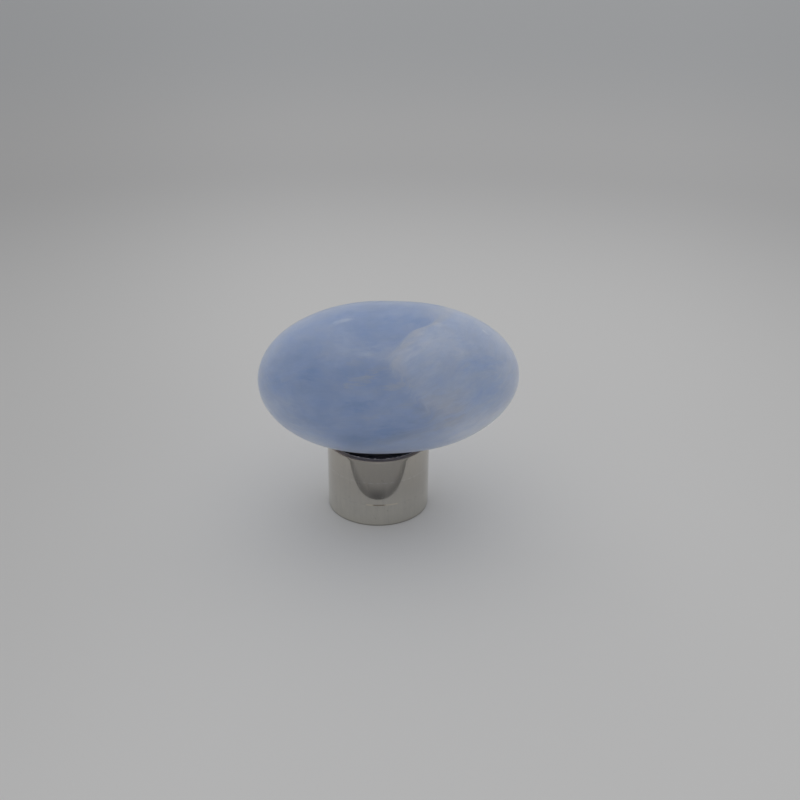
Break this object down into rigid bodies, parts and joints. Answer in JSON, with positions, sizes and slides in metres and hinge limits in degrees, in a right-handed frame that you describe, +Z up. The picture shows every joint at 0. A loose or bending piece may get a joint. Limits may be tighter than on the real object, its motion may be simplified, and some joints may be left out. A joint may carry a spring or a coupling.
{
  "type": "blue calcite shiva lingam on a ring stand",
  "caption": "Polished egg-ended stone ellipsoid in pale cloudy blue calcite, lying on its side across the open mouth of a short polished metal tube that serves as its display stand.",
  "frame": {"origin": "on the surface that the stand rests on, straight below the middle of the stone, which is the bottom centre of the whole object's box", "axes": "+X along the stone's long axis, towards its leaner and slightly raised end; +Y away from the side the picture shows; +Z up"},
  "size_m": [0.0688, 0.0404, 0.0593],
  "materials": {
    "calcite": "satin polish, milky and slightly translucent",
    "polished_metal": "polished, with fine scratches"
  },
  "bodies": {
    "root": {"lingam_stone": "calcite", "ring_stand": "polished_metal"}
  },
  "joints": []
}
